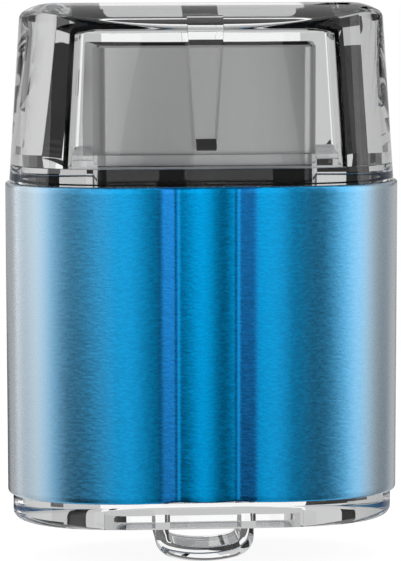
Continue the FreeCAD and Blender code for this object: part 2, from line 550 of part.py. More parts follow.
# Contacts: flat strips with a chamfered tip and a narrow tail that lies on the board
for name, x, inset in CONTACTS:
    contact = new_body(name)
    strip = new_sketch(contact, "outline", role="XZ_Plane", offset=f"-{BOARD_FACE}")
    tip, foot = f"{TONGUE_TIP} - {inset}", f"{BOARD_TOP} - contact_foot"
    half = ["contact_width / 4", "contact_width / 2", "contact_width / 2", "contact_tail / 2", "contact_tail / 2"]
    level = [tip, f"{tip} - contact_width / 4", "-block_length", "-block_length", foot]
    polygon(strip, [(f"{x} + {h}", z) for h, z in zip(half, level)]
            + [(f"{x} - {h}", z) for h, z in reversed(list(zip(half, level)))])
    pad(contact, "strip", strip, "contact_thick")

# Circuit board: narrow between the shell's legs, wide in the trays
circuit_board = new_body("circuit_board")
NECK = "(plug_width / 2 - plug_sheet - fit_gap)"
WIDE, STEP = "(board_width / 2)", f"({BOARD_TOP} - board_notch)"
board = new_sketch(circuit_board, "outline", role="XZ_Plane", offset=f"-{BOARD_BACK}")
polygon(board, [(f"-{NECK}", BOARD_TOP), (f"-{NECK}", STEP), (f"-{WIDE}", STEP), (f"-{WIDE}", BOARD_END),
                (WIDE, BOARD_END), (WIDE, STEP), (NECK, STEP), (NECK, BOARD_TOP)])
pad(circuit_board, "plate", board, "board_thick")

# Trays: two black halves round the board, split at the board's front face
for label, side in (("tray_back", 1), ("tray_front", -1)):
    tray = new_body(label)
    oval_sketch = new_sketch(tray, "outline", offset=TRAY_END)
    sleeve_oval(oval_sketch, "(sleeve_wall + fit_gap)")
    pad(tray, "block", oval_sketch, f"{TRAY_TOP} - {TRAY_END}")
    other = new_sketch(tray, "other_half", offset=TRAY_END)
    if side > 0:
        rectangle(other, "-sleeve_width", "sleeve_width", "-sleeve_depth", BOARD_FACE)
    else:
        rectangle(other, "-sleeve_width", "sleeve_width", f"{BOARD_FACE} - seat_gap", "sleeve_depth")
    pocket(tray, "split", other, "all", reverse=True)
    room = new_sketch(tray, "room_outline", role="XZ_Plane", offset=f"-{BOARD_FACE}")
    rectangle(room, "-(board_width / 2 - tray_ledge)", "board_width / 2 - tray_ledge",
              f"{TRAY_END} + tray_wall + tray_ledge", f"{TRAY_TOP} + tray_wall")
    ROOM_DEPTH = "sleeve_depth / 2 - sleeve_wall - fit_gap - tray_wall"
    pocket(tray, "room", room, f"{ROOM_DEPTH} - {BOARD_FACE}" if side > 0 else f"{ROOM_DEPTH} + {BOARD_FACE}",
           reverse=side < 0)
    if side > 0:
        seat = new_sketch(tray, "seat_outline", role="XZ_Plane", offset=f"-{BOARD_FACE}")
        rectangle(seat, "-(board_width / 2 + fit_gap)", "board_width / 2 + fit_gap",
                  f"{BOARD_END} - fit_gap", f"{TRAY_TOP} + tray_wall")
        pocket(tray, "seat", seat, "board_thick")

# Chips and small parts: the memory and the lamp on the board's front, the rest on its back
MEMORY_TOP = f"({BOARD_TOP} - contact_foot - memory_drop)"
boxes("memory_chip", "memory_width", "memory_thick", "memory_length",
      [("0", f"{BOARD_FACE} - lead_height - memory_thick", f"{MEMORY_TOP} - memory_length")])
boxes("memory_leads", "lead_size", "lead_height", "lead_size",
      [(f"memory_width * {i / 8 - 0.5}", f"{BOARD_FACE} - lead_height",
        f"{MEMORY_TOP} - memory_length * {k / 5} - lead_size / 2")
       for i in range(1, 8) for k in range(1, 5)])
CONTROLLER_X = "(controller_shift - (board_width / 2 - tray_ledge) / 2)"
CONTROLLER_TOP = f"({STEP} - controller_drop)"
boxes("controller_chip", "controller_size", "controller_thick", "controller_size",
      [(CONTROLLER_X, f"{BOARD_BACK} + lead_height", f"{CONTROLLER_TOP} - controller_size")])
boxes("controller_leads", "lead_size", "lead_height", "lead_size",
      [(f"{CONTROLLER_X} + controller_size * {i / 6 - 0.5}", BOARD_BACK,
        f"{CONTROLLER_TOP} - controller_size * {k / 6} - lead_size / 2")
       for i in range(1, 6) for k in range(1, 6) if i in (1, 5) or k in (1, 5)])
boxes("crystal", "crystal_width", "crystal_thick", "crystal_length",
      [("board_width / 4", BOARD_BACK, f"{CONTROLLER_TOP} - 1.2 * crystal_length")])
boxes("indicator_led", "lamp_width", "chip_thick", "lamp_length",
      [("0", f"{BOARD_FACE} - chip_thick", f"{TRAY_END} + tray_wall + tray_ledge + fit_gap")])
boxes("capacitors", "chip_width", "chip_thick", "chip_length",
      [(f"board_width / 4 + {dx} * chip_width", BOARD_BACK, f"{CONTROLLER_TOP} - controller_size + {dz} * chip_length")
       for dx, dz in ((-1.2, 0), (0.2, 0), (1.4, 0), (-1.2, 2), (0.2, 2))])
boxes("resistors", "chip_width", "chip_thick", "chip_length",
      [(f"{CONTROLLER_X} + {dx} * chip_width", BOARD_BACK, f"{CONTROLLER_TOP} - controller_size - 2.4 * chip_length")
       for dx in (-1.5, 0, 1.5)])
boxes("solder_joints", "contact_width", "solder_thick", "contact_foot * 0.7",
      [(x, f"{TONGUE_FACE} - solder_thick", f"{BOARD_TOP} - contact_foot * 0.85") for _, x, _ in CONTACTS])

doc.recompute()
broken = [o.Label for o in doc.Objects if "Invalid" in o.State or "Error" in o.State]
broken += [n.Label for n in NODES if n.Shape.isNull() or not n.Shape.isValid()]
if broken:
    raise SystemExit(f"not built: {', '.join(broken)}")
os.makedirs("parts", exist_ok=True)
for node in NODES:
    node.Shape.exportStep(f"parts/{node.Label}.step")
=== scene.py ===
import math
import bmesh
import bpy
from mathutils import Matrix, Vector


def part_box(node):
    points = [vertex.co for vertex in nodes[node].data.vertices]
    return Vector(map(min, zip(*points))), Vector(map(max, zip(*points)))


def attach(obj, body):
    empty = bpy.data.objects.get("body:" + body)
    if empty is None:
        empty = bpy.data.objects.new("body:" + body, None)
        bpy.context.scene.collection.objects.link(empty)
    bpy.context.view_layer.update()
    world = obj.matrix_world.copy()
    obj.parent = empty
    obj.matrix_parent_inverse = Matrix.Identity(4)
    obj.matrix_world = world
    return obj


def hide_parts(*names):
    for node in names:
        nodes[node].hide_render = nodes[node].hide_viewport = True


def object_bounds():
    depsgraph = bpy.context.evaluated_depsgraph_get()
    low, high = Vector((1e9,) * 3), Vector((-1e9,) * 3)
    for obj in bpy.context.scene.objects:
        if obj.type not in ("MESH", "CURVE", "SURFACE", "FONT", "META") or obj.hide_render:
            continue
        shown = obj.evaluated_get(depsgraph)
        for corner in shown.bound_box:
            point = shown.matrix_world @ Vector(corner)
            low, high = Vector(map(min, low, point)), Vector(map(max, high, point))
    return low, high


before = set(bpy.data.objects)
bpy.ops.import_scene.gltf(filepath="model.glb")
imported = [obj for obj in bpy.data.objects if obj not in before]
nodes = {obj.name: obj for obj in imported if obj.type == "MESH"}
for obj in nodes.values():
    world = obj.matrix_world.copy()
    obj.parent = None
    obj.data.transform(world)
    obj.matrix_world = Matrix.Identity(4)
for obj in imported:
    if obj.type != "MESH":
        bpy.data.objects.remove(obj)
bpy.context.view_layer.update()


def finish(name, **numbers):
    """A new material, its node tree and its shader, with plain numbers set on the shader's own sockets."""
    material = bpy.data.materials.new(name)
    material.use_nodes = True
    tree = material.node_tree
    shader = next(n for n in tree.nodes if n.type == "BSDF_PRINCIPLED")
    for socket, number in numbers.items():
        shader.inputs[socket.replace("_", " ")].default_value = number
    return material, tree, shader


def dress(material, *names):
    """Gives CAD nodes the material."""
    for name in names:
        nodes[name].data.materials.clear()
        nodes[name].data.materials.append(material)


def new_group(name, inputs, outputs):
    """An empty shader group with named sockets, and its two ends."""
    group = bpy.data.node_groups.new(name, "ShaderNodeTree")
    for label, kind, default in inputs:
        socket = group.interface.new_socket(label, in_out="INPUT", socket_type=f"NodeSocket{kind}")
        if default is not None:
            socket.default_value = default
    for label, kind in outputs:
        group.interface.new_socket(label, in_out="OUTPUT", socket_type=f"NodeSocket{kind}")
    return group, group.nodes.new("NodeGroupInput"), group.nodes.new("NodeGroupOutput")


grain_group, grain_in, grain_out = new_group(
    "surface_grain",
    [("Coordinates", "Vector", None), ("Grains per metre", "Float", 4000.0), ("Stretch", "Vector", (1.0, 1.0, 1.0)),
     ("Dark tone", "Color", (0.1, 0.1, 0.1, 1.0)), ("Light tone", "Color", (0.2, 0.2, 0.2, 1.0)),
     ("Roughness low", "Float", 0.4), ("Roughness high", "Float", 0.5), ("Depth", "Float", 0.1)],
    [("Colour", "Color"), ("Grain", "Float"), ("Roughness", "Float"), ("Normal", "Vector")])
stretch = grain_group.nodes.new("ShaderNodeVectorMath")
stretch.operation = "MULTIPLY"
noise = grain_group.nodes.new("ShaderNodeTexNoise")
noise.inputs["Detail"].default_value = 3.0
contrast = grain_group.nodes.new("ShaderNodeMapRange")
contrast.inputs["From Min"].default_value = 0.3
contrast.inputs["From Max"].default_value = 0.7
spread = grain_group.nodes.new("ShaderNodeMapRange")
tones = grain_group.nodes.new("ShaderNodeMix")
tones.data_type = "RGBA"
bump = grain_group.nodes.new("ShaderNodeBump")
bump.inputs["Distance"].default_value = 2e-5
wire = grain_group.links.new
wire(grain_in.outputs["Coordinates"], stretch.inputs[0])
wire(grain_in.outputs["Stretch"], stretch.inputs[1])
wire(stretch.outputs["Vector"], noise.inputs["Vector"])
wire(grain_in.outputs["Grains per metre"], noise.inputs["Scale"])
wire(noise.outputs["Fac"], contrast.inputs["Value"])
wire(contrast.outputs["Result"], spread.inputs["Value"])
wire(grain_in.outputs["Roughness low"], spread.inputs["To Min"])
wire(grain_in.outputs["Roughness high"], spread.inputs["To Max"])
wire(contrast.outputs["Result"], tones.inputs["Factor"])
wire(grain_in.outputs["Dark tone"], tones.inputs["A"])
wire(grain_in.outputs["Light tone"], tones.inputs["B"])
wire(noise.outputs["Fac"], bump.inputs["Height"])
wire(grain_in.outputs["Depth"], bump.inputs["Strength"])
wire(tones.outputs["Result"], grain_out.inputs["Colour"])
wire(contrast.outputs["Result"], grain_out.inputs["Grain"])
wire(spread.outputs["Result"], grain_out.inputs["Roughness"])
wire(bump.outputs["Normal"], grain_out.inputs["Normal"])


def grain_of(tree, dark, light, per_metre, low, high, depth, stretched=(1.0, 1.0, 1.0)):
    """Places the grain group in a material, with that material's own tones and sizes."""
    place = tree.nodes.new("ShaderNodeTexCoord")
    grain = tree.nodes.new("ShaderNodeGroup")
    grain.node_tree = grain_group
    for socket, number in (("Grains per metre", per_metre), ("Stretch", stretched), ("Dark tone", (*dark, 1.0)),
                           ("Light tone", (*light, 1.0)), ("Roughness low", low), ("Roughness high", high),
                           ("Depth", depth)):
        grain.inputs[socket].default_value = number
    tree.links.new(place.outputs["Object"], grain.inputs["Coordinates"])
    return place, grain


def grained(made, *grain_values):
    """A finish whose colour, roughness and relief all come from its grain."""
    material, tree, shader = made
    _, grain = grain_of(tree, *grain_values)
    tree.links.new(grain.outputs["Colour"], shader.inputs["Base Color"])
    tree.links.new(grain.outputs["Roughness"], shader.inputs["Roughness"])
    tree.links.new(grain.outputs["Normal"], shader.inputs["Normal"])
    return material


dress(grained(finish("green_mask", Coat_Weight=0.4), (0.006, 0.05, 0.022), (0.012, 0.085, 0.035), 2500, 0.25, 0.4, 0.1),
      "circuit_board")
dress(grained(finish("chip_epoxy"), (0.018, 0.018, 0.02), (0.032, 0.032, 0.034), 7000, 0.5, 0.65, 0.25),
      "memory_chip", "controller_chip")
dress(grained(finish("bright_tin", Metallic=1.0), (0.55, 0.55, 0.56), (0.72, 0.72, 0.71), 4000, 0.25, 0.4, 0.15),
      "memory_leads", "controller_leads", "solder_joints", "crystal")
dress(grained(finish("tan_ceramic"), (0.26, 0.16, 0.09), (0.36, 0.24, 0.14), 6000, 0.4, 0.55, 0.1), "capacitors")
dress(grained(finish("black_glaze"), (0.015, 0.015, 0.018), (0.03, 0.03, 0.034), 6000, 0.25, 0.4, 0.1), "resistors")
dress(grained(finish("milky_resin", Transmission_Weight=0.5), (0.75, 0.8, 0.85), (0.85, 0.88, 0.9), 5000, 0.1, 0.2,
              0.05),
      "indicator_led")

# Trays and insulator: black moulded nylon with a fine spark-eroded grain.
# The two trays clamp the board's edges, and the insulator carries the contacts in the plug's mouth.
black_nylon = grained(finish("black_nylon", Specular_IOR_Level=0.0), (0.004, 0.004, 0.0044), (0.008, 0.008, 0.0085),
                      5000, 0.42, 0.55, 0.05)
dress(black_nylon, "tray_back", "tray_front", "plug_insulator")

# Plug: a shell folded from nickel-plated steel strip round the insulator, with four gold-plated bronze contacts.
# The strip keeps faint rolling lines along its length, and inside the shell its colour is painted near black as shade.
nickel_strip, nickel_tree, nickel_shader = finish("nickel_strip", Metallic=1.0)
nickel_place, nickel_grain = grain_of(nickel_tree, (0.43, 0.43, 0.43), (0.45, 0.45, 0.45), 2200, 0.28, 0.30, 0.0,
                                      (1.0, 1.0, 0.05))
MM = 0.001
# Inside the shell's box the colour is painted near black: painted shade in the plug's mouth.
inner_half, painted_shade_tone = (5.8 * MM, 2.1 * MM), (0.02, 0.02, 0.02, 1.0)
shell_place = nickel_tree.nodes.new("ShaderNodeSeparateXYZ")
inside_x, inside_y = (nickel_tree.nodes.new("ShaderNodeMath") for _ in inner_half)
inside_x.operation = inside_y.operation = "COMPARE"
inside_shade_mask = nickel_tree.nodes.new("ShaderNodeMath")
inside_shade_mask.operation = "MULTIPLY"
shell_with_painted_shade = nickel_tree.nodes.new("ShaderNodeMix")
shell_with_painted_shade.data_type = "RGBA"
shell_with_painted_shade.inputs["B"].default_value = painted_shade_tone
nickel_tree.links.new(nickel_place.outputs["Object"], shell_place.inputs["Vector"])
for axis, check, reach in (("X", inside_x, inner_half[0]), ("Y", inside_y, inner_half[1])):
    check.inputs[1].default_value = 0.0
    check.inputs[2].default_value = reach
    nickel_tree.links.new(shell_place.outputs[axis], check.inputs[0])
nickel_tree.links.new(inside_x.outputs["Value"], inside_shade_mask.inputs[0])
nickel_tree.links.new(inside_y.outputs["Value"], inside_shade_mask.inputs[1])
nickel_tree.links.new(inside_shade_mask.outputs["Value"], shell_with_painted_shade.inputs["Factor"])
nickel_tree.links.new(nickel_grain.outputs["Colour"], shell_with_painted_shade.inputs["A"])
nickel_tree.links.new(shell_with_painted_shade.outputs["Result"], nickel_shader.inputs["Base Color"])
nickel_tree.links.new(nickel_grain.outputs["Roughness"], nickel_shader.inputs["Roughness"])
nickel_tree.links.new(nickel_grain.outputs["Normal"], nickel_shader.inputs["Normal"])
dress(nickel_strip, "plug_shell")
dress(grained(finish("gold_plate", Metallic=1.0), (0.75, 0.48, 0.14), (0.88, 0.62, 0.22), 3000, 0.18, 0.3, 0.05,
              (1.0, 1.0, 0.1)),
      "vbus_contact", "data_minus_contact", "data_plus_contact", "ground_contact")

# Sleeve: an aluminium extrusion, blasted with fine beads and dyed blue in the anodising bath.
# Each face has a bead between two grooves, with soft shoulders, and the cut ends are lightly broken.
sleeve_low, sleeve_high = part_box("sleeve")
half_width = sleeve_high.x
half_depth = 4.80 * MM
flank_power = 4.12
shoulder_start, lip, groove_edge = 4.65 * MM, 2.62 * MM, 1.66 * MM
shoulder_fall, groove_wall, bead_radius = 0.150, 0.31, 5.4 * MM
groove_soft, lip_soft = 0.2 * MM, 0.14 * MM
bore_wall = 1.0 * MM


def fall_slope(u):
    """How steeply the face falls towards the channel, at a distance from its middle line."""
    stations = ((0.0, 0.0), (groove_edge - groove_soft, -(groove_edge - groove_soft) / bead_radius),
                (groove_edge + groove_soft, groove_wall), (lip - groove_soft, groove_wall),
                (lip + lip_soft, shoulder_fall), (shoulder_start, 0.0))
    for (u0, s0), (u1, s1) in zip(stations, stations[1:]):
        if u <= u1:
            return s0 + (s1 - s0) * (u - u0) / (u1 - u0)
    return 0.0


channel_steps = 160
channel_falls = [0.0]
for index in range(channel_steps):
    u = shoulder_start * (1.0 - (index + 0.5) / channel_steps)
    channel_falls.append(channel_falls[-1] + fall_slope(u) * shoulder_start / channel_steps)


def face_height(u):
    """Distance of the sleeve's face from its middle plane."""
    height = half_depth * math.sqrt(max(0.0, 1.0 - (u / half_width) ** flank_power))
    if u < shoulder_start:
        height -= channel_falls[round((1.0 - u / shoulder_start) * channel_steps)]
    return height


channel_xs = [shoulder_start * (i / channel_steps) for i in range(0, channel_steps, 2)]
flank_turns = 72
flank_xs = []
for index in range(flank_turns + 1):
    swing = math.pi / 2 * index / flank_turns
    x = half_width * math.sin(swing) ** (2.0 / flank_power)
    if x >= shoulder_start:
        flank_xs.append(x)
quarter = [(x, face_height(x)) for x in channel_xs + flank_xs]
outline = ([(x, -y) for x, y in quarter] + [(x, y) for x, y in reversed(quarter[:-1])]
           + [(-x, y) for x, y in quarter[1:]] + [(-x, -y) for x, y in reversed(quarter[1:-1])])


def bore_point(x, y):
    """The point of the plain oval bore that lies under a point of the outline."""
    far = half_width - bore_wall
    u = x * far / half_width
    depth = (half_depth - bore_wall) * math.sqrt(max(0.0, 1.0 - (abs(u) / far) ** flank_power))
    return u, math.copysign(depth, y) if depth else 0.0


sleeve_tree = bpy.data.node_groups.new("extruded_sleeve", "GeometryNodeTree")
for label, kind in (("Outline", "Geometry"), ("Length", "Float"), ("Broken edge", "Float"), ("Finish", "Material")):
    sleeve_tree.interface.new_socket(label, in_out="INPUT", socket_type=f"NodeSocket{kind}")
sleeve_tree.interface.new_socket("Sleeve", in_out="OUTPUT", socket_type="NodeSocketGeometry")
die_in, die_out = sleeve_tree.nodes.new("NodeGroupInput"), sleeve_tree.nodes.new("NodeGroupOutput")
draw = sleeve_tree.links.new


def times(output, factor):
    """A size of the tree, multiplied."""
    node = sleeve_tree.nodes.new("ShaderNodeMath")
    node.operation = "MULTIPLY"
    draw(output, node.inputs[0])
    node.inputs[1].default_value = factor
    return node.outputs["Value"]


def drawn_on(mesh, last, rise, direction=None, reach=1.0):
    """Draws the last ring of edges along the sleeve, and moves the new ring along a stored direction."""
    lift = sleeve_tree.nodes.new("ShaderNodeCombineXYZ")
    if rise is not None:
        draw(rise, lift.inputs["Z"])
    wall = sleeve_tree.nodes.new("GeometryNodeExtrudeMesh")
    wall.mode = "EDGES"
    draw(mesh, wall.inputs["Mesh"])
    draw(lift.outputs["Vector"], wall.inputs["Offset"])
    if last is not None:
        draw(last, wall.inputs["Selection"])
    mesh = wall.outputs["Mesh"]
    if direction:
        stored = sleeve_tree.nodes.new("GeometryNodeInputNamedAttribute")
        stored.data_type = "FLOAT_VECTOR"
        stored.inputs["Name"].default_value = direction
        shift = sleeve_tree.nodes.new("ShaderNodeVectorMath")
        shift.operation = "SCALE"
        draw(stored.outputs["Attribute"], shift.inputs["Vector"])
        if isinstance(reach, float):
            shift.inputs["Scale"].default_value = reach
        else:
            draw(reach, shift.inputs["Scale"])
        move = sleeve_tree.nodes.new("GeometryNodeSetPosition")
        draw(mesh, move.inputs["Geometry"])
        draw(wall.outputs["Top"], move.inputs["Selection"])
        draw(shift.outputs["Vector"], move.inputs["Offset"])
        mesh = move.outputs["Geometry"]
    return mesh, wall.outputs["Top"]


edge, length = die_in.outputs["Broken edge"], die_in.outputs["Length"]
straight = sleeve_tree.nodes.new("ShaderNodeMath")
straight.operation = "SUBTRACT"
draw(length, straight.inputs[0])
break_much, break_little, guard = 0.7, 0.3, 2.0
draw(times(edge, 2.0 * (break_much + break_little + guard)), straight.inputs[1])
ring = (die_in.outputs["Outline"], None)
ring = drawn_on(*ring, times(edge, break_little), "outward", times(edge, break_much))
ring = drawn_on(*ring, times(edge, break_much), "outward", times(edge, break_little))
ring = drawn_on(*ring, times(edge, guard))
ring = drawn_on(*ring, straight.outputs["Value"])
ring = drawn_on(*ring, times(edge, guard))
ring = drawn_on(*ring, times(edge, break_much), "outward", times(edge, -break_little))
ring = drawn_on(*ring, times(edge, break_little), "outward", times(edge, -break_much))
ring = drawn_on(*ring, None, "to_bore")
ring = drawn_on(*ring, times(length, -1.0))
ring = drawn_on(*ring, None, "to_bore", -1.0)
weld = sleeve_tree.nodes.new("GeometryNodeMergeByDistance")
weld.inputs["Distance"].default_value = 1e-6
realize = sleeve_tree.nodes.new("GeometryNodeRealizeInstances")
paint = sleeve_tree.nodes.new("GeometryNodeSetMaterial")
draw(ring[0], weld.inputs["Geometry"])
draw(weld.outputs["Geometry"], realize.inputs["Geometry"])
draw(realize.outputs["Geometry"], paint.inputs["Geometry"])
draw(die_in.outputs["Finish"], paint.inputs["Material"])
draw(paint.outputs["Geometry"], die_out.inputs["Sleeve"])

blue_anodised, blue_tree, blue_shader = finish("blue_anodised", Metallic=1.0, Coat_Weight=0.04, Coat_Roughness=0.4)
blast_depth, blast_thinned, blast_ends = 0.24, 0.12, (0.70, 0.84)
blue_place, blue_grain = grain_of(blue_tree, (0.80, 0.80, 0.80), (1.0, 1.0, 1.0), 7200, 0.25, 0.29, blast_depth,
                                  (0.42, 0.42, 1.0))
across = blue_tree.nodes.new("ShaderNodeSeparateXYZ")
unsigned = blue_tree.nodes.new("ShaderNodeMath")
unsigned.operation = "ABSOLUTE"
to_flank = blue_tree.nodes.new("ShaderNodeMath")
to_flank.operation = "DIVIDE"
to_flank.inputs[1].default_value = half_width
# Only the plain blue is the dye: the colour is painted paler towards the rounded flanks as a painted sheen, and deeper
# on the groove walls as painted shade.
dye_and_painted_light = blue_tree.nodes.new("ShaderNodeValToRGB")
dye_and_painted_light_stops = ((0.0, (0.0, 0.331, 0.72)), (1.4, (0.0, 0.320, 0.72)), (1.9, (0.014, 0.265, 0.72)),
             (2.4, (0.016, 0.260, 0.72)), (2.9, (0.003, 0.335, 0.72)), (5.0, (0.011, 0.346, 0.72)),
             (6.7, (0.062, 0.392, 0.72)), (7.65, (0.120, 0.432, 0.72)), (8.55, (0.241, 0.497, 0.72)),
             (9.0, (0.360, 0.554, 0.72)), (9.45, (0.486, 0.623, 0.72)), (10.2, (0.540, 0.634, 0.72)),
             (10.7, (0.640, 0.680, 0.72)))
while len(dye_and_painted_light.color_ramp.elements) < len(dye_and_painted_light_stops):
    dye_and_painted_light.color_ramp.elements.new(0.5)
for stop, (where, colour) in zip(dye_and_painted_light.color_ramp.elements, dye_and_painted_light_stops):
    stop.position = where * MM / half_width
    stop.color = (*colour, 1.0)
grained_painted_colour = blue_tree.nodes.new("ShaderNodeMix")
grained_painted_colour.data_type = "RGBA"
grained_painted_colour.blend_type = "MULTIPLY"
blast = blue_tree.nodes.new("ShaderNodeMapRange")
blast.inputs["From Min"].default_value, blast.inputs["From Max"].default_value = blast_ends
blast.inputs["To Min"].default_value = 1.0
blast.inputs["To Max"].default_value = blast_thinned
relief = blue_tree.nodes.new("ShaderNodeMath")
relief.operation = "MULTIPLY"
relief.inputs[1].default_value = blast_depth
blue_tree.links.new(blue_place.outputs["Object"], across.inputs["Vector"])
blue_tree.links.new(across.outputs["X"], unsigned.inputs[0])
blue_tree.links.new(unsigned.outputs["Value"], to_flank.inputs[0])
blue_tree.links.new(to_flank.outputs["Value"], dye_and_painted_light.inputs["Fac"])
blue_tree.links.new(to_flank.outputs["Value"], blast.inputs["Value"])
blue_tree.links.new(blast.outputs["Result"], grained_painted_colour.inputs["Factor"])
blue_tree.links.new(blast.outputs["Result"], relief.inputs[0])
blue_tree.links.new(relief.outputs["Value"], blue_grain.inputs["Depth"])
blue_tree.links.new(dye_and_painted_light.outputs["Color"], grained_painted_colour.inputs["A"])
blue_tree.links.new(blue_grain.outputs["Colour"], grained_painted_colour.inputs["B"])
blue_tree.links.new(grained_painted_colour.outputs["Result"], blue_shader.inputs["Base Color"])
blue_tree.links.new(blue_grain.outputs["Roughness"], blue_shader.inputs["Roughness"])
blue_tree.links.new(blue_grain.outputs["Normal"], blue_shader.inputs["Normal"])

broken_edge, sleeve_crease = 0.12 * MM, math.radians(50)
count = len(outline)
section = bpy.data.meshes.new("sleeve_section")
outward, to_bore, corners = [], [], []
for index, (x, y) in enumerate(outline):
    (x0, y0), (x1, y1) = outline[index - 1], outline[(index + 1) % count]
    normal = Vector((y1 - y0, x0 - x1, 0.0)).normalized()
    start = Vector((x, y, sleeve_low.z)) - normal * broken_edge
    bore = bore_point(x, y)
    outward.append(normal)
    corners.append(start)
    to_bore.append(Vector((bore[0] - start.x, bore[1] - start.y, 0.0)))
section.from_pydata(corners, [(i, (i + 1) % count) for i in range(count)], [])
for label, directions in (("outward", outward), ("to_bore", to_bore)):
    stored = section.attributes.new(label, "FLOAT_VECTOR", "POINT")
    stored.data.foreach_set("vector", [number for direction in directions for number in direction])
blue_sleeve = bpy.data.objects.new("blue_sleeve", section)
bpy.context.collection.objects.link(blue_sleeve)
extrusion = blue_sleeve.modifiers.new("extrusion", "NODES")
extrusion.node_group = sleeve_tree
for item in sleeve_tree.interface.items_tree:
    if item.in_out == "INPUT" and item.name != "Outline":
        extrusion[item.identifier] = {"Length": sleeve_high.z - sleeve_low.z, "Broken edge": broken_edge,
                                      "Finish": blue_anodised}[item.name]


def settle(obj):
    """Turns an object's evaluated shape into its plain mesh, facing outwards and smooth but for sharp corners."""
    bpy.context.view_layer.update()
    mesh = bpy.data.meshes.new_from_object(obj.evaluated_get(bpy.context.evaluated_depsgraph_get()))
    obj.modifiers.clear()
    obj.data = mesh
    for label in ("outward", "to_bore"):
        if label in mesh.attributes:
            mesh.attributes.remove(mesh.attributes[label])
    shell = bmesh.new()
    shell.from_mesh(mesh)
    bmesh.ops.recalc_face_normals(shell, faces=shell.faces)
    shell.to_mesh(mesh)
    shell.free()
    mesh.shade_smooth()
    mesh.set_sharp_from_angle(angle=sleeve_crease)
    return obj


settle(blue_sleeve)
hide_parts("sleeve")
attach(blue_sleeve, "drive")

# Collar: a ring of clear polycarbonate round the foot of the plug, injection moulded with polished faces.
# Its spigot is pressed into the sleeve's upper end, and its neck stands up inside the cap.
clear_bend, clear_crease = 1.5, math.radians(28)
clear_plastic, clear_tree, clear_shader = finish("clear_polycarbonate", Transmission_Weight=1.0, IOR=clear_bend,
                                                 Roughness=0.0)
_, clear_grain = grain_of(clear_tree, (0.982, 0.986, 0.988), (0.988, 0.990, 0.992), 900, 0.0, 0.0, 0.0)
clear_tree.links.new(clear_grain.outputs["Colour"], clear_shader.inputs["Base Color"])


def oval_point(turn, size, power):
    """A point of a soft oval at a number of quarter turns from its right end; the power sets how square it is."""
    quarter_turn, part = divmod(turn, 1.0)
    reach = part if quarter_turn % 2 else 1.0 - part
    across = reach * (2.0 - reach)
    along = math.sqrt(max(0.0, 1.0 - across ** power))
    x, y = across * size[0], along * size[1]
    return Vector((x * (1 if quarter_turn in (0, 3) else -1), y * (1 if quarter_turn < 2 else -1)))


def oblong_point(turn, size, corner):
    """The same for an oblong with rounded corners, given by its half sizes."""
    quarter_turn, part = divmod(turn, 1.0)
    side, arc, face = size[1] - corner, corner * math.pi / 2, size[0] - corner
    run = (1.0 - part if quarter_turn % 2 else part) * (side + arc + face)
    if run < side:
        x, y = size[0], run
    elif run < side + arc:
        angle = (run - side) / corner
        x, y = face + corner * math.cos(angle), side + corner * math.sin(angle)
    else:
        x, y = face - (run - side - arc), size[1]
    return Vector((x * (1 if quarter_turn in (0, 3) else -1), y * (1 if quarter_turn < 2 else -1)))


def skin(shell, lower, upper, second=()):
    """A ring of faces between two loops of as many corners; those listed take the piece's second material."""
    for i, corner in enumerate(lower):
        j = (i + 1) % len(lower)
        shell.faces.new((corner, lower[j], upper[j], upper[i])).material_index = int(i in second)


def moulded(name, shell, node, body):
    """Turns a shell into a piece of clear plastic that takes a node's place."""
    bmesh.ops.recalc_face_normals(shell, faces=shell.faces)
    mesh = bpy.data.meshes.new(name)
    shell.to_mesh(mesh)
    shell.free()
    mesh.shade_smooth()
    mesh.set_sharp_from_angle(angle=clear_crease)
    mesh.materials.append(clear_plastic)
    obj = bpy.data.objects.new(name, mesh)
    bpy.context.collection.objects.link(obj)
    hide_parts(node)
    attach(obj, body)
    return obj


clear_columns = 384


def stacked(levels):
    """A shell of loops, one after another, each of a shape, half sizes, roundness and height, and the loops."""
    shell = bmesh.new()
    loops = []
    for shape, size, roundness, height in levels:
        spots = [shape(4.0 * i / clear_columns, size, roundness) for i in range(clear_columns)]
        loops.append([shell.verts.new((spot.x, spot.y, height)) for spot in spots])
    for lower, upper in zip(loops, loops[1:]):
        skin(shell, lower, upper)
    return shell, loops


collar_low, collar_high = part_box("collar")
ring_foot, neck_top, spigot_foot = -0.95 * MM, collar_high.z, collar_low.z
spigot_half, spigot_hollow = (9.95 * MM, 3.85 * MM), (8.95 * MM, 2.85 * MM)
ring_foot_half, ring_top_half = (10.77 * MM, 4.67 * MM), (10.70 * MM, 4.60 * MM)
neck_half, neck_corner = (7.40 * MM, 2.85 * MM), 0.8 * MM
plug_hole_half, plug_hole_corner = (6.05 * MM, 2.30 * MM), 0.65 * MM
collar_shell, collar_loops = stacked((
    (oval_point, spigot_half, flank_power, spigot_foot), (oval_point, spigot_half, flank_power, ring_foot),
    (oval_point, ring_foot_half, flank_power, ring_foot), (oval_point, ring_top_half, flank_power, 0.0),
    (oblong_point, neck_half, neck_corner, 0.0), (oblong_point, neck_half, neck_corner, neck_top),
    (oblong_point, plug_hole_half, plug_hole_corner, neck_top),
    (oblong_point, plug_hole_half, plug_hole_corner, ring_foot),
    (oval_point, spigot_hollow, flank_power, ring_foot), (oval_point, spigot_hollow, flank_power, spigot_foot)))
skin(collar_shell, collar_loops[-1], collar_loops[0])
moulded("clear_collar", collar_shell, "collar", "drive")

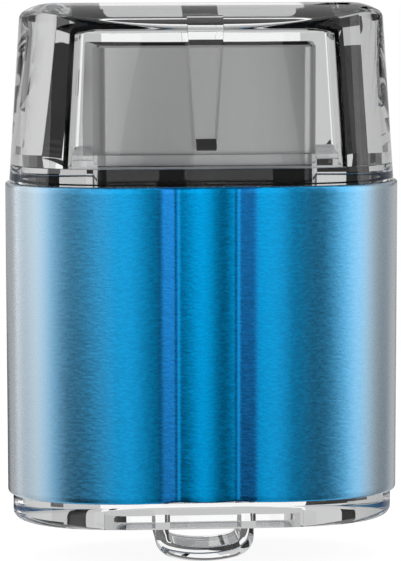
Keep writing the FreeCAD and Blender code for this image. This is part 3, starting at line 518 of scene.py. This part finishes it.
# Tail cap: the same clear plastic, pressed into the sleeve's lower end by a spigot like the collar's.
# It has a light well inside, and the lanyard loop is moulded on in a shallow recess underneath.
tail_low, tail_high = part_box("tail_cap")
tail_half = (tail_high.x, tail_high.y)
tail_top, tail_face = sleeve_low.z, sleeve_low.z - 1.45 * MM
tail_round, round_steps, flat_margin = 0.42 * MM, 8, 0.06 * MM
well_half, well_corner, well_floor = (5.8 * MM, 2.1 * MM), 1.05 * MM, sleeve_low.z - 0.3 * MM
recess_half, recess_corner, recess_roof = (5.45 * MM, 1.4 * MM), 1.3 * MM, tail_face + 0.35 * MM
tail_levels = [(oblong_point, well_half, well_corner, well_floor), (oblong_point, well_half, well_corner, tail_top),
               (oval_point, spigot_hollow, flank_power, tail_top),
               (oval_point, spigot_hollow, flank_power, tail_high.z),
               (oval_point, spigot_half, flank_power, tail_high.z), (oval_point, spigot_half, flank_power, tail_top),
               (oval_point, tail_half, flank_power, tail_top)]
for step in range(round_steps + 1):
    angle = math.radians(90 * step / round_steps)
    inset = tail_round * (1.0 - math.cos(angle))
    tail_levels.append((oval_point, (tail_half[0] - inset, tail_half[1]), flank_power,
                        tail_face + tail_round * (1.0 - math.sin(angle))))
flat_half = (tail_half[0] - tail_round - flat_margin, tail_half[1] - flat_margin)
tail_levels += [(oval_point, flat_half, flank_power, tail_face),
                (oblong_point, recess_half, recess_corner, tail_face),
                (oblong_point, recess_half, recess_corner, recess_roof)]
tail_shell, tail_loops = stacked(tail_levels)
tail_shell.faces.new(tail_loops[0])
tail_shell.faces.new(tail_loops[-1])
bmesh.ops.recalc_face_normals(tail_shell, faces=tail_shell.faces)

strap_half, strap_depth, strap_round, strap_root = 0.4 * MM, 1.6 * MM, 0.12 * MM, 0.2 * MM
strap_side, strap_bend, foot_bow = 2.4 * MM, 0.7 * MM, 7.1 * MM
foot_steps, bend_steps, rim_columns = 12, 10, 64


def foot_height(x):
    """Height of the middle of the loop's strap along its bowed foot."""
    return tail_low.z + strap_half + foot_bow - math.sqrt(foot_bow ** 2 - x * x)


def curve_between(start, over, end, steps):
    """Points of a soft bend from a start towards a point over it and round to an end, without the start."""
    shares = [i / steps for i in range(1, steps + 1)]
    return [start * (1 - t) ** 2 + over * 2 * t * (1 - t) + end * t * t for t in shares]


strap_line = [Vector((x, foot_height(x))) for x in ((strap_side - strap_bend) * i / foot_steps
                                                    for i in range(foot_steps + 1))]
bend_over = Vector((strap_side, foot_height(strap_side)))
strap_line += curve_between(strap_line[-1], bend_over, bend_over + Vector((0.0, strap_bend)), bend_steps)
strap_line.append(Vector((strap_side, recess_roof + strap_root)))
strap_line = [Vector((-spot.x, spot.y)) for spot in reversed(strap_line[1:])] + strap_line
strap_rim = [oblong_point(4.0 * i / rim_columns, (strap_half, strap_depth), strap_round) for i in range(rim_columns)]
strap_shell = bmesh.new()
strap_loops = []
for index, spot in enumerate(strap_line):
    along = (strap_line[min(index + 1, len(strap_line) - 1)] - strap_line[max(index - 1, 0)]).normalized()
    strap_loops.append([strap_shell.verts.new((spot.x - along.y * p.x, p.y, spot.y + along.x * p.x))
                        for p in strap_rim])
for lower, upper in zip(strap_loops, strap_loops[1:]):
    skin(strap_shell, lower, upper)
strap_shell.faces.new(strap_loops[0])
strap_shell.faces.new(strap_loops[-1])
bmesh.ops.recalc_face_normals(strap_shell, faces=strap_shell.faces)


def united(first, second):
    """The shell of two shells that run into each other."""
    blanks = []
    for shell in (first, second):
        mesh = bpy.data.meshes.new("blank")
        shell.to_mesh(mesh)
        shell.free()
        blanks.append(bpy.data.objects.new("blank", mesh))
        bpy.context.collection.objects.link(blanks[-1])
    weld = blanks[0].modifiers.new("weld", "BOOLEAN")
    weld.operation, weld.solver, weld.object = "UNION", "EXACT", blanks[1]
    both = bmesh.new()
    both.from_mesh(settle(blanks[0]).data)
    for blank in blanks:
        bpy.data.objects.remove(blank)
    return both


moulded("clear_tail", united(tail_shell, strap_shell), "tail_cap", "drive")

# Cap: the same clear plastic, with thick walls, an arched top and a rib front and back that guides it along the plug.
# It is moulded with a slight taper, so that it leaves the mould, and it pushes on over the collar's neck.
cap_low, cap_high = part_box("cap")
rim_size, rim_power = ring_top_half, flank_power
crown_size, crown_power = (10.08 * MM, 3.98 * MM), 3.3
crown_arch, end_arch, end_run, round_run = 8.0 * MM, 3.083 * MM, 1.8 * MM, 0.255 * MM
side_steps, crown_steps, halvings = 10, 24, 40
cavity_mouth, cavity_top, cavity_round = (15.3 * MM, 6.2 * MM), (14.4 * MM, 5.3 * MM), 0.8 * MM
cavity_high, corner_steps = 7.65 * MM, 16
rib_face, rib_foot, rib_ramp = 2.37 * MM, 0.9 * MM, 0.6 * MM
rib_widths, rib_least = (1.1 * MM, 2.0 * MM), 1e-7


def crown_height(x, y):
    """Height of the cap's arched top, before its edge is rounded."""
    height = cap_high.z - (crown_arch - math.sqrt(crown_arch ** 2 - y * y))
    over = abs(x) - (crown_size[0] - end_run)
    if over > 0.0:
        height -= end_arch - math.sqrt(end_arch ** 2 - over * over)
    return height


def outside_at(turn, share):
    """A point of the cap's side, from the rim at 0 to the level of the top at 1."""
    flat = oval_point(turn, rim_size, rim_power).lerp(oval_point(turn, crown_size, crown_power), share)
    return Vector((flat.x, flat.y, cap_low.z + (cap_high.z - cap_low.z) * share))


def cap_profile(turn):
    """The cap's outside from its rim to the middle of its top, over one point of the rim."""
    meet_low, meet_high = 0.5, 1.0
    for _ in range(halvings):
        share = (meet_low + meet_high) / 2
        point = outside_at(turn, share)
        if point.z < crown_height(point.x, point.y):
            meet_low = share
        else:
            meet_high = share
    meet = outside_at(turn, meet_low)
    side_share = meet_low - round_run / (cap_high.z - cap_low.z)
    inner = 1.0 - round_run / Vector((meet.x, meet.y)).length
    above = Vector((meet.x * inner, meet.y * inner, crown_height(meet.x * inner, meet.y * inner)))
    points = [outside_at(turn, side_share * i / side_steps) for i in range(side_steps + 1)]
    points += curve_between(outside_at(turn, side_share), meet, above, round_steps)
    for i in range(1, crown_steps):
        share = inner * (1 - i / crown_steps)
        points.append(Vector((meet.x * share, meet.y * share, crown_height(meet.x * share, meet.y * share))))
    return points


cap_shell = bmesh.new()
profiles = [cap_profile(4.0 * i / clear_columns) for i in range(clear_columns)]
outside = [[cap_shell.verts.new(spot) for spot in ring] for ring in zip(*profiles)]
for lower, upper in zip(outside, outside[1:]):
    skin(cap_shell, lower, upper)
pole = cap_shell.verts.new((0.0, 0.0, crown_height(0.0, 0.0)))
for i in range(clear_columns):
    cap_shell.faces.new((outside[-1][i], outside[-1][(i + 1) % clear_columns], pole))


def cavity_loop(size, height, rib):
    """Corners of the cavity at one height: a rounded oblong, with the two ribs standing in from its faces."""
    half_x, half_y = size[0] / 2, size[1] / 2
    points = []
    for quarter_turn, (sx, sy) in enumerate(((1, -1), (1, 1), (-1, 1), (-1, -1))):
        centre = Vector((sx * (half_x - cavity_round), sy * (half_y - cavity_round)))
        for i in range(corner_steps + 1):
            angle = math.radians(-90 + 90 * quarter_turn + 90 * i / corner_steps)
            points.append(centre + cavity_round * Vector((math.cos(angle), math.sin(angle))))
        if sx == sy:
            face = math.copysign(half_y, sy)
            stand = math.copysign(half_y - rib[1], sy)
            for x, y in ((1, face), (1, stand), (-1, stand), (-1, face)):
                points.append(Vector((x * sy * rib[0] / 2, y)))
    return [Vector((p.x, p.y, height)) for p in points]


def rib_at(height):
    """Width of a rib at a height, and how far it stands in from the cavity's face."""
    share = (height - rib_foot) / (cavity_high - rib_foot)
    width = rib_widths[0] + (rib_widths[1] - rib_widths[0]) * max(0.0, share)
    half_y = (cavity_mouth[1] + (cavity_top[1] - cavity_mouth[1]) * height / cavity_high) / 2
    rise = min(1.0, max(0.0, (height - rib_foot) / rib_ramp))
    return width, max((half_y - rib_face) * rise, rib_least)


roof_round, roof_steps, roof_spread, roof_margin = 0.40 * MM, 10, (3.8, 1.0), 0.05 * MM
wall_top, wall_steps = cavity_high - roof_round, 16
wall_heights = sorted({cap_low.z, rib_foot, rib_foot + rib_ramp, wall_top,
                       *[wall_top * i / wall_steps for i in range(1, wall_steps)]})
cavity_levels = [(height, 0.0) for height in wall_heights]
for step in range(1, roof_steps + 1):
    angle = math.radians(90 * step / roof_steps)
    cavity_levels.append((wall_top + roof_round * math.sin(angle), roof_round * (1.0 - math.cos(angle))))
cavity_levels.append((cavity_high, roof_round + roof_margin))
inside = []
for height, inset in cavity_levels:
    share = height / cavity_high
    size = [m + (t - m) * share - 2.0 * inset * spread for m, t, spread in zip(cavity_mouth, cavity_top, roof_spread)]
    inside.append([cap_shell.verts.new(p) for p in cavity_loop(size, height, rib_at(height))])

# The cavity's rounded edges take a second clear material that mostly refracts and mirrors next to nothing, so that they
# stand as painted dark lines in the clear walls:
# the halves of its upright corners that turn to the sides, and the whole of the edge round its roof.
corner_points, rib_points, half_corner = corner_steps + 1, 4, corner_steps // 2
side_starts = (half_corner, corner_points, 2 * corner_points + rib_points + half_corner,
               3 * corner_points + rib_points)
corner_faces = [start + i for start in side_starts for i in range(half_corner)]
wall_rings = len(wall_heights) - 1
for ring, (lower, upper) in enumerate(zip(inside, inside[1:])):
    if ring < wall_rings:
        painted_dark_faces = corner_faces
    elif ring < wall_rings + roof_steps:
        painted_dark_faces = range(len(lower))
    else:
        painted_dark_faces = ()
    skin(cap_shell, lower, upper, painted_dark_faces)
cap_shell.faces.new(inside[-1])
rim_edges = [cap_shell.edges.get((loop[i], loop[(i + 1) % len(loop)])) for loop in (outside[0], inside[0])
             for i in range(len(loop))]
bmesh.ops.triangle_fill(cap_shell, use_beauty=True, edges=rim_edges)
clear_cap = moulded("clear_cap", cap_shell, "cap", "cap")
# Second clear material: 96 parts in 100 a refraction that mirrors nothing, so the edges render as painted dark lines.
painted_dark_edge, painted_dark_edge_tree, painted_dark_edge_shader = finish("clear_polycarbonate_painted_dark_edge", Transmission_Weight=1.0,
                                                     IOR=clear_bend, Roughness=0.0)
edge_tint, bend_share = (0.985, 0.988, 0.99, 1.0), 0.96
painted_dark_edge_shader.inputs["Base Color"].default_value = edge_tint
bend, blend = painted_dark_edge_tree.nodes.new("ShaderNodeBsdfRefraction"), painted_dark_edge_tree.nodes.new("ShaderNodeMixShader")
bend.inputs["IOR"].default_value = clear_bend
bend.inputs["Roughness"].default_value = 0.0
blend.inputs["Fac"].default_value = bend_share
painted_dark_edge_out = next(n for n in painted_dark_edge_tree.nodes if n.type == "OUTPUT_MATERIAL")
painted_dark_edge_tree.links.new(painted_dark_edge_shader.outputs["BSDF"], blend.inputs[1])
painted_dark_edge_tree.links.new(bend.outputs["BSDF"], blend.inputs[2])
painted_dark_edge_tree.links.new(blend.outputs["Shader"], painted_dark_edge_out.inputs["Surface"])
clear_cap.data.materials.append(painted_dark_edge)

# Studio: a white floor, and round the object a ring of cards as a photographer sets them for glass and metal.
# A pale window stands behind, dark flags beside it edge the clear plastic, and soft boxes light the sleeve.
low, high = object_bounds()
middle = (low + high) / 2
screen_reach, flag_reach, room_reach, shade_reach = 1.5, 1.4, 1.6, 32 * MM


def staged(name, corners, faces, material, **seen):
    """A stage object, and whether each kind of ray that is named sees it."""
    mesh = bpy.data.meshes.new(name)
    mesh.from_pydata(corners, [], faces)
    mesh.materials.append(material)
    obj = bpy.data.objects.new(name, mesh)
    for kind, shown in seen.items():
        setattr(obj, f"visible_{kind}", shown)
    bpy.context.collection.objects.link(obj)
    return obj


def card(name, left, right, bottom, top, material, distance=screen_reach, lean=0.0, **seen):
    """A curved card between two bearings and two heights, in degrees seen from the object; 0 is straight behind it.

    The lean lifts the right end of its top.
    """
    columns, rows = max(2, round((right - left) / 4)), max(2, round((top - bottom) / 6))
    corners = []
    for row in range(rows + 1):
        for column in range(columns + 1):
            height = math.radians(bottom + (top + lean * column / columns - bottom) * row / rows)
            bearing = math.radians(left + (right - left) * column / columns)
            corners.append(middle + distance * Vector((math.sin(bearing) * math.cos(height),
                                                       math.cos(bearing) * math.cos(height), math.sin(height))))
    wide = columns + 1
    faces = [(r * wide + c, r * wide + c + 1, (r + 1) * wide + c + 1, (r + 1) * wide + c)
             for r in range(rows) for c in range(columns)]
    return staged(name, corners, faces, material, **seen)


def glowing(name, level, mirrored=None, deep=None):
    """A plain card that shines at one level, where 1 is white.

    It may show another level in the mirror of polished faces, or to light that wandered about inside thick plastic:
    that level, and one or two spans of turns on the way, first and last, that still see the card's own.
    """
    material = bpy.data.materials.new(name)
    material.use_nodes = True
    tree = material.node_tree
    tree.nodes.clear()
    glow, out = tree.nodes.new("ShaderNodeEmission"), tree.nodes.new("ShaderNodeOutputMaterial")
    glow.inputs["Strength"].default_value = level
    if mirrored is not None:
        ray, choice = tree.nodes.new("ShaderNodeLightPath"), tree.nodes.new("ShaderNodeMapRange")
        choice.inputs["To Min"].default_value = level
        choice.inputs["To Max"].default_value = mirrored
        tree.links.new(ray.outputs["Is Singular Ray"], choice.inputs["Value"])
        tree.links.new(choice.outputs["Result"], glow.inputs["Strength"])
    if deep is not None:
        ray, choice = tree.nodes.new("ShaderNodeLightPath"), tree.nodes.new("ShaderNodeMapRange")
        plain = tree.nodes.new("ShaderNodeMath")
        plain.operation = "MAXIMUM"
        plain.inputs[0].default_value = plain.inputs[1].default_value = 0.0
        slack = 0.4
        for place, (first, last) in enumerate(deep[1:]):
            within = tree.nodes.new("ShaderNodeMath")
            within.operation = "COMPARE"
            within.inputs[1].default_value = (first + last) / 2
            within.inputs[2].default_value = (last - first) / 2 + slack
            tree.links.new(ray.outputs["Ray Depth"], within.inputs[0])
            tree.links.new(within.outputs["Value"], plain.inputs[place])
        choice.inputs["To Min"].default_value = deep[0]
        choice.inputs["To Max"].default_value = level
        tree.links.new(plain.outputs["Value"], choice.inputs["Value"])
        tree.links.new(choice.outputs["Result"], glow.inputs["Strength"])
    tree.links.new(glow.outputs["Emission"], out.inputs["Surface"])
    return material


screen = (("silk_top", -18, 18, 15, 52, 0.62), ("silk_top_left", -62, -18, 15, 52, 0.50),
          ("silk_top_right", 18, 62, 15, 52, 0.50), ("silk_far_left", -62, -28, -25, 15, 0.50),
          ("silk_left", -28, -14, -16, 15, 0.50), ("silk_near_left", -14, -0.7, -16, 15, 0.64),
          ("silk_right", 9.6, 28, -16, 15, 0.56), ("silk_far_right", 28, 62, -25, 15, 0.60),
          ("low_left", -28, -4, -25, -16, 0.45), ("low_middle", -4, 12, -25, -16, 0.55),
          ("low_right", 12, 28, -25, -16, 0.22), ("window", -0.7, 9.6, -16, 15, 1.0),
          ("pit", -180, 180, -90, -25, 0.06), ("lid", -180, 180, 52, 90, 0.03))
screen_deep, room_deep = (0.5, (0, 4)), (0.45, (0, 5), (9, 9))
for name, left, right, bottom, top, level in screen:
    card(name, left, right, bottom, top, glowing(name, level, deep=screen_deep), camera=False,
         glossy=name not in ("pit", "lid"))
for name, left, right, bottom, top, level in (
        ("room_right", 62, 130, -25, 52, 0.5), ("room_front_right", 130, 176, -25, 15, 1.35),
        ("room_front_left", 176, 230, -25, 15, 0.25), ("room_front_high", 130, 230, 15, 52, 0.5),
        ("room_left", 230, 298, -25, 52, 0.5)):
    card(name, left, right, bottom, top, glowing(name, level, deep=room_deep), room_reach, camera=False,
         diffuse=False, glossy=False)
flags = (("flag_left", -28, -14, -16, -8.9, 0.95, 0.05), ("flag_near", -14, -0.7, -16, -5.95, 0.0, 0.03),
         ("flag_right", 21, 28, -16, -6.6, 0.0, 0.12), ("flag_high_left", -19, -11.5, 7, 15, 0.0, 0.02),
         ("flag_high_right", 13, 19.5, 6, 30, 0.0, 0.02), ("pane", -3, 11, 8, 11.85, 0.45, 0.60),
         ("slot", 0.9, 7.2, 12.5, 22, 0.0, 1.0), ("slot_left", 7.2, 8.3, 12.5, 22, 0.0, 0.0),
         ("slot_right", 0.1, 0.9, 12.0, 12.7, 0.0, 0.0), ("flag_edge_right_1", 21, 29, 1, 10, 0.0, 0.01),
         ("flag_edge_right_2", 29, 36, 1, 10, 0.0, 0.03), ("flag_edge_right_3", 36, 46, 1, 10, 0.0, 0.09),
         ("flag_edge_right_4", 46, 61, 1, 10, 0.0, 0.16), ("flag_edge_left_1", -20, -12, 1, 7, 0.0, 0.02),
         ("flag_edge_left_2", -27, -20, 1, 7, 0.0, 0.06), ("flag_edge_left_3", -48, -27, 1, 7, 0.0, 0.14))
for name, left, right, bottom, top, lean, level in flags:
    card(name, left, right, bottom, top, glowing(name, level, deep=screen_deep), flag_reach, lean, camera=False)
for name, left, right, bottom, top, level in (
        ("shade_left", -12.5, -7.9, 1.5, 3.2, 0.03), ("shade_loop", -1.5, 9.0, -32.0, -27.3, 0.14),
        ("shade_foot", -1.5, 9.0, -16.9, -15.2, 0.16)):
    corners = [(x * MM, shade_reach, z * MM) for x, z in ((left, bottom), (right, bottom), (right, top), (left, top))]
    staged(name, corners, [(0, 1, 2, 3)], glowing(name, level), camera=False, diffuse=False, glossy=False, shadow=False)
wall_levels = (0.45, 0.40, 0.38, 0.40, 0.46, 0.62, 0.95, 1.28, 1.46, 1.45, 1.14, 0.52, 0.02, 0.32, 0.84, 1.21,
               1.16, 0.70, 0.36, 0.32, 0.48, 0.79, 1.06, 1.15, 1.10, 1.00, 0.92, 0.82, 0.80, 1.00, 1.4)
wall_tilts = {10: 0.65, 11: 0.65, 16: 0.3, 17: 0.95, 18: 0.95, 19: 0.95, 20: 0.65}
wall_start, wall_step, wall_split, wall_end, usual_tilt = -304, 8, -8, 60, 0.2
front_walls, front_mirrored = range(8, 23), 0.05
for index, level in enumerate(wall_levels):
    left, tilt = wall_start + wall_step * index, wall_tilts.get(index, usual_tilt)
    for half, bottom, top, share in (("low", -wall_end, wall_split, 1.0 - tilt),
                                     ("high", wall_split, wall_end, 1.0 + tilt)):
        name, shine = f"wall_{half}_{index}", share * level
        card(name, left, left + wall_step, bottom, top,
             glowing(name, shine, front_mirrored if index in front_walls else shine), camera=False, transmission=False)

floor_paint = bpy.data.materials.new("floor_paint")
floor_paint.use_nodes = True
floor_tree = floor_paint.node_tree
floor_tree.nodes.clear()
matt, glow = floor_tree.nodes.new("ShaderNodeBsdfDiffuse"), floor_tree.nodes.new("ShaderNodeEmission")
matt.inputs["Color"].default_value = (0.9, 0.9, 0.9, 1.0)
floor_path, floor_mix = floor_tree.nodes.new("ShaderNodeLightPath"), floor_tree.nodes.new("ShaderNodeMixShader")
floor_place, floor_fade = floor_tree.nodes.new("ShaderNodeTexCoord"), floor_tree.nodes.new("ShaderNodeMapRange")
floor_reach, floor_part = floor_tree.nodes.new("ShaderNodeVectorMath"), floor_tree.nodes.new("ShaderNodeMath")
floor_out = floor_tree.nodes.new("ShaderNodeOutputMaterial")
floor_reach.operation = "LENGTH"
floor_part.operation = "MULTIPLY"
floor_half, floor_gap, fade_near, fade_far, floor_level = 0.6, 1e-5, 0.02, 0.09, 0.93
floor_fade.inputs["From Min"].default_value = fade_near
floor_fade.inputs["From Max"].default_value = fade_far
floor_fade.inputs["To Min"].default_value = floor_level
floor_fade.inputs["To Max"].default_value = 1.0
floor_tree.links.new(floor_place.outputs["Object"], floor_reach.inputs[0])
floor_tree.links.new(floor_reach.outputs["Value"], floor_fade.inputs["Value"])
floor_tree.links.new(floor_path.outputs["Is Camera Ray"], floor_part.inputs[0])
floor_tree.links.new(floor_fade.outputs["Result"], floor_part.inputs[1])
floor_tree.links.new(floor_part.outputs["Value"], floor_mix.inputs["Fac"])
floor_tree.links.new(matt.outputs["BSDF"], floor_mix.inputs[1])
floor_tree.links.new(glow.outputs["Emission"], floor_mix.inputs[2])
floor_tree.links.new(floor_mix.outputs["Shader"], floor_out.inputs["Surface"])
floor_corners = [(x * floor_half, y * floor_half, low.z - floor_gap) for x, y in ((-1, -1), (1, -1), (1, 1), (-1, 1))]
staged("floor", floor_corners, [(0, 1, 2, 3)], floor_paint, glossy=False, transmission=False)


def soft_box(name, place, width, height, power):
    """A soft light that faces the object and shows in no polished or clear face."""
    light = bpy.data.lights.new(name, "AREA")
    light.shape = "RECTANGLE"
    light.size, light.size_y = width, height
    light.energy = power
    obj = bpy.data.objects.new(name, light)
    aim = middle - Vector(place)
    obj.matrix_world = Matrix.Translation(place) @ aim.to_track_quat("-Z", "Y").to_matrix().to_4x4()
    obj.visible_glossy = False
    obj.visible_transmission = False
    bpy.context.collection.objects.link(obj)


soft_box("box_left", (-0.3, -0.12, 0.12), 0.2, 0.3, 1.6)
soft_box("box_right", (0.3, -0.15, 0.12), 0.2, 0.3, 1.4)
soft_box("box_top", (0.0, -0.05, 0.4), 0.4, 0.4, 3.0)

world = bpy.data.worlds.new("studio")
bpy.context.scene.world = world
world.use_nodes = True
sky = world.node_tree
room = next(n for n in sky.nodes if n.type == "BACKGROUND")
room.inputs["Color"].default_value = (1.0, 1.0, 1.0, 1.0)
path = sky.nodes.new("ShaderNodeLightPath")
either, shown = sky.nodes.new("ShaderNodeMath"), sky.nodes.new("ShaderNodeMath")
either.operation = shown.operation = "MAXIMUM"
strength = sky.nodes.new("ShaderNodeMapRange")
strength.inputs["To Min"].default_value = 0.35
strength.inputs["To Max"].default_value = 1.0
sky.links.new(path.outputs["Is Glossy Ray"], either.inputs[0])
sky.links.new(path.outputs["Is Transmission Ray"], either.inputs[1])
sky.links.new(either.outputs["Value"], shown.inputs[0])
sky.links.new(path.outputs["Is Camera Ray"], shown.inputs[1])
sky.links.new(shown.outputs["Value"], strength.inputs["Value"])
sky.links.new(strength.outputs["Result"], room.inputs["Strength"])

# Camera: a long lens, a little above and to the left of the drive, as the photograph was taken.
# Its place, its roll and its focal length were fitted to where the drive's edges stand in the picture.
sensor, focal_pixels, picture_pixels = 36.0, 2923.08, 561.0
aim_point, camera_reach = Vector((-0.083e-3, 0.0, -6.665e-3)), 164.46e-3
turn, rise, roll = math.radians(-4.27), math.radians(7.137), math.radians(-0.1)
back = Vector((math.sin(turn) * math.cos(rise), -math.cos(turn) * math.cos(rise), math.sin(rise)))
right = (-back).cross(Vector((0, 0, 1))).normalized()
up = right.cross(-back)
side = right * math.cos(roll) + up * math.sin(roll)
top = up * math.cos(roll) - right * math.sin(roll)
spot = aim_point + back * camera_reach
lens = bpy.data.cameras.new("camera")
lens.sensor_fit = "VERTICAL"
lens.sensor_height = sensor
lens.lens = sensor * focal_pixels / picture_pixels
lens.clip_start = 0.01
camera = bpy.data.objects.new("camera", lens)
camera.matrix_world = Matrix(((side.x, top.x, back.x, spot.x), (side.y, top.y, back.y, spot.y),
                              (side.z, top.z, back.z, spot.z), (0, 0, 0, 1)))
bpy.context.collection.objects.link(camera)
bpy.context.scene.camera = camera

bpy.context.scene.view_settings.view_transform = "Standard"
most_bounces = 24
for kind in ("max", "glossy", "transmission"):
    setattr(bpy.context.scene.cycles, f"{kind}_bounces", most_bounces)
